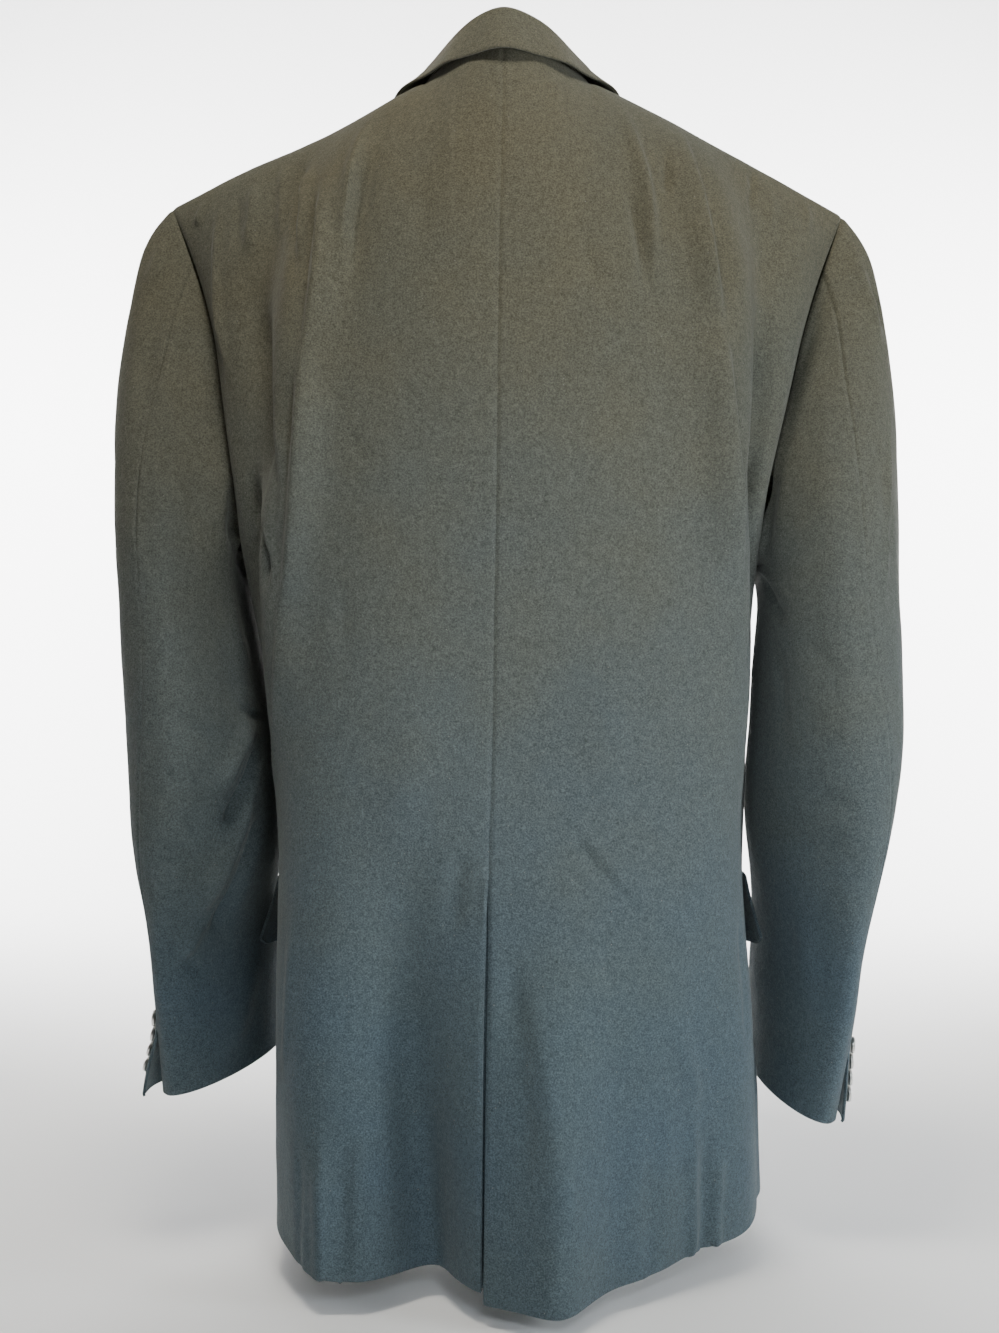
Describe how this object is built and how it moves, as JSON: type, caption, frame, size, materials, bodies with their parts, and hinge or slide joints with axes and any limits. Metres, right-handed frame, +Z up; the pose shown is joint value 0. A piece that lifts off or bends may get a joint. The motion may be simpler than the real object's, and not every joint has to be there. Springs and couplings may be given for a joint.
{
  "type": "blazer",
  "caption": "Single-breasted wool blazer with a notched collar, flapped pockets, buttoned cuffs and a centre back vent, hollow and filled out as worn.",
  "frame": {"origin": "middle of the neck base, between the two ends of the shoulder seams at the neck, where the wearer's shoulders carry it", "axes": "+Z up, -Y out of the front, +X towards the wearer's left"},
  "size_m": [0.5602, 0.2993, 0.859],
  "materials": {
    "wool": "soft napped grey wool flannel",
    "button_metal": "polished silver-tone metal"
  },
  "bodies": {
    "root": {"back_left": "wool", "back_right": "wool", "side_left": "wool", "side_right": "wool", "front_left": "wool", "front_right": "wool", "sleeve_top_left": "wool", "sleeve_top_right": "wool", "sleeve_under_left": "wool", "sleeve_under_right": "wool", "lapel_left": "wool", "lapel_right": "wool", "flap_left": "wool", "flap_right": "wool", "collar": "wool", "vent_underlap": "wool", "cuff_button_left_1": "button_metal", "cuff_button_left_2": "button_metal", "cuff_button_left_3": "button_metal", "cuff_button_left_4": "button_metal", "cuff_button_right_1": "button_metal", "cuff_button_right_2": "button_metal", "cuff_button_right_3": "button_metal", "cuff_button_right_4": "button_metal", "front_button_1": "button_metal", "front_button_2": "button_metal"}
  },
  "joints": []
}
